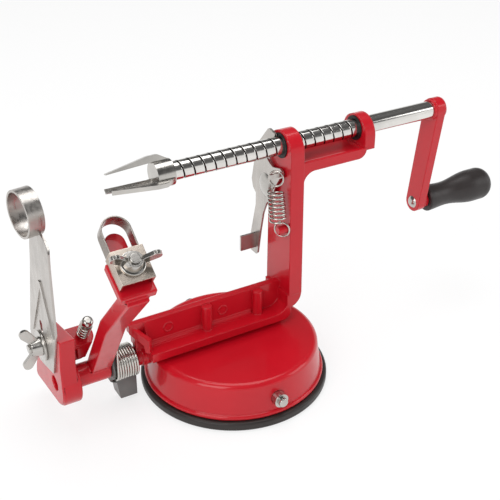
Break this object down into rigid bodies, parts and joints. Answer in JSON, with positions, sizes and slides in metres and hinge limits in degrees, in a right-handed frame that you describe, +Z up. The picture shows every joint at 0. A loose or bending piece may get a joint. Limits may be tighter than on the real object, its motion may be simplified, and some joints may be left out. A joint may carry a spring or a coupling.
{
  "type": "apple peeler",
  "caption": "Hand cranked apple peeler: threaded feed shaft with fork and crank, sprung peel arm, coring ring blade and release lever on a red frame with a round suction base.",
  "frame": {"origin": "on the table under the feed shaft, on the underside of the pad, 7 mm behind the middle of the round base", "axes": "+X along the feed shaft towards the crank, +Y to the back, +Z up"},
  "size_m": [0.3083, 0.1126, 0.1416],
  "materials": {
    "red_enamel": "glossy red enamel on castings",
    "polished_steel": "polished",
    "plated_steel": "bright nickel plating",
    "sheet_steel": "satin rolled sheet",
    "spring_steel": "drawn wire",
    "base_rubber": "matt dark rubber",
    "bush_plastic": "black",
    "grip_plastic": "satin charcoal",
    "block_plastic": "dark grey",
    "cam_plastic": "pale"
  },
  "bodies": {
    "stand": {"base_pad": "base_rubber", "base_shell": "red_enamel", "frame": "red_enamel", "frame_screws": "plated_steel", "lever_screw": "plated_steel", "lever_spring": "spring_steel", "pivot_rod": "red_enamel", "spring_block": "block_plastic", "arm_spring": "spring_steel", "end_bracket": "red_enamel", "stop_spring": "spring_steel", "blade_bolt": "plated_steel", "blade_washer": "plated_steel"},
    "bushes": {"front_bush": "bush_plastic", "rear_bush": "bush_plastic"},
    "feed": {"feed_screw": "polished_steel", "fork": "plated_steel", "crank_arm": "red_enamel", "crank_screw": "plated_steel", "grip_pin": "plated_steel"},
    "grip": {"handle_grip": "grip_plastic"},
    "release": {"release_lever": "sheet_steel"},
    "peeler": {"peel_arm": "red_enamel", "clamp_plate": "plated_steel", "peel_blade": "sheet_steel", "peel_stud": "plated_steel"},
    "peel_nut": {"peel_wing_nut": "plated_steel"},
    "stop": {"stop_screw": "plated_steel"},
    "corer": {"core_blade": "sheet_steel"},
    "corer_nut": {"blade_wing_nut": "plated_steel"},
    "suction_lock": {"cam_axle": "plated_steel", "suction_cam": "cam_plastic", "suction_lever": "plated_steel", "lever_pin": "plated_steel"},
    "suction": {"suction_stem": "plated_steel"}
  },
  "joints": [
    {"name": "crank_turn", "type": "hinge", "parent": "stand", "child": "bushes", "pos_m": [0, 0, 0.1316], "axis": [1, 0, 0], "range_deg": [-2340, 3600]},
    {"name": "shaft_feed", "type": "slide", "parent": "bushes", "child": "feed", "axis": [1, 0, 0], "range_m": [-0.0391, 0.0601]},
    {"name": "grip_spin", "type": "hinge", "parent": "feed", "child": "grip", "pos_m": [0.16, 0.00857, 0.06818], "axis": [1, 0, 0], "continuous": true},
    {"name": "lever_release", "type": "hinge", "parent": "stand", "child": "release", "pos_m": [0.0288, 0.0108, 0.104], "axis": [-1, 0, 0], "range_deg": [0, 14], "stiffness_Nm_per_rad": 0.5, "springref_deg": -6.88, "deforming": ["lever_spring"]},
    {"name": "peel_swing", "type": "hinge", "parent": "stand", "child": "peeler", "pos_m": [-0.081, 0, 0.0267], "axis": [-1, 0, 0], "range_deg": [-28, 12], "stiffness_Nm_per_rad": 0.8, "springref_deg": 2.58, "deforming": ["arm_spring"]},
    {"name": "peel_nut_turn", "type": "hinge", "parent": "peeler", "child": "peel_nut", "pos_m": [-0.081, -0.05593, 0.12038], "axis": [0, -0.6018, 0.7986], "continuous": true},
    {"name": "stop_turn", "type": "hinge", "parent": "stand", "child": "stop", "pos_m": [-0.0862, 0.006, 0.0468], "axis": [0, -0.5764, 0.8171], "continuous": true},
    {"name": "corer_swing", "type": "hinge", "parent": "stand", "child": "corer", "pos_m": [-0.106, 0.0097, 0.0454], "axis": [-1, 0, 0], "range_deg": [0, 90]},
    {"name": "corer_nut_turn", "type": "hinge", "parent": "stand", "child": "corer_nut", "pos_m": [-0.11, 0.0097, 0.0454], "axis": [-1, 0, 0], "continuous": true},
    {"name": "suction_turn", "type": "hinge", "parent": "stand", "child": "suction_lock", "pos_m": [-0.0026, -0.0066, 0.0145], "axis": [0, -1, 0], "range_deg": [0, 90]},
    {"name": "suction_lift", "type": "slide", "parent": "stand", "child": "suction", "axis": [0, 0, 1], "range_m": [0, 0.002], "stiffness_N_per_m": 10, "springref_m": 0.0146}
  ],
  "couplings": [
    {"joint": "shaft_feed", "follows": "crank_turn", "m_per_rad": 0.00095493},
    {"joint": "suction_lift", "follows": "suction_turn", "m_per_rad": 0.0012669}
  ]
}
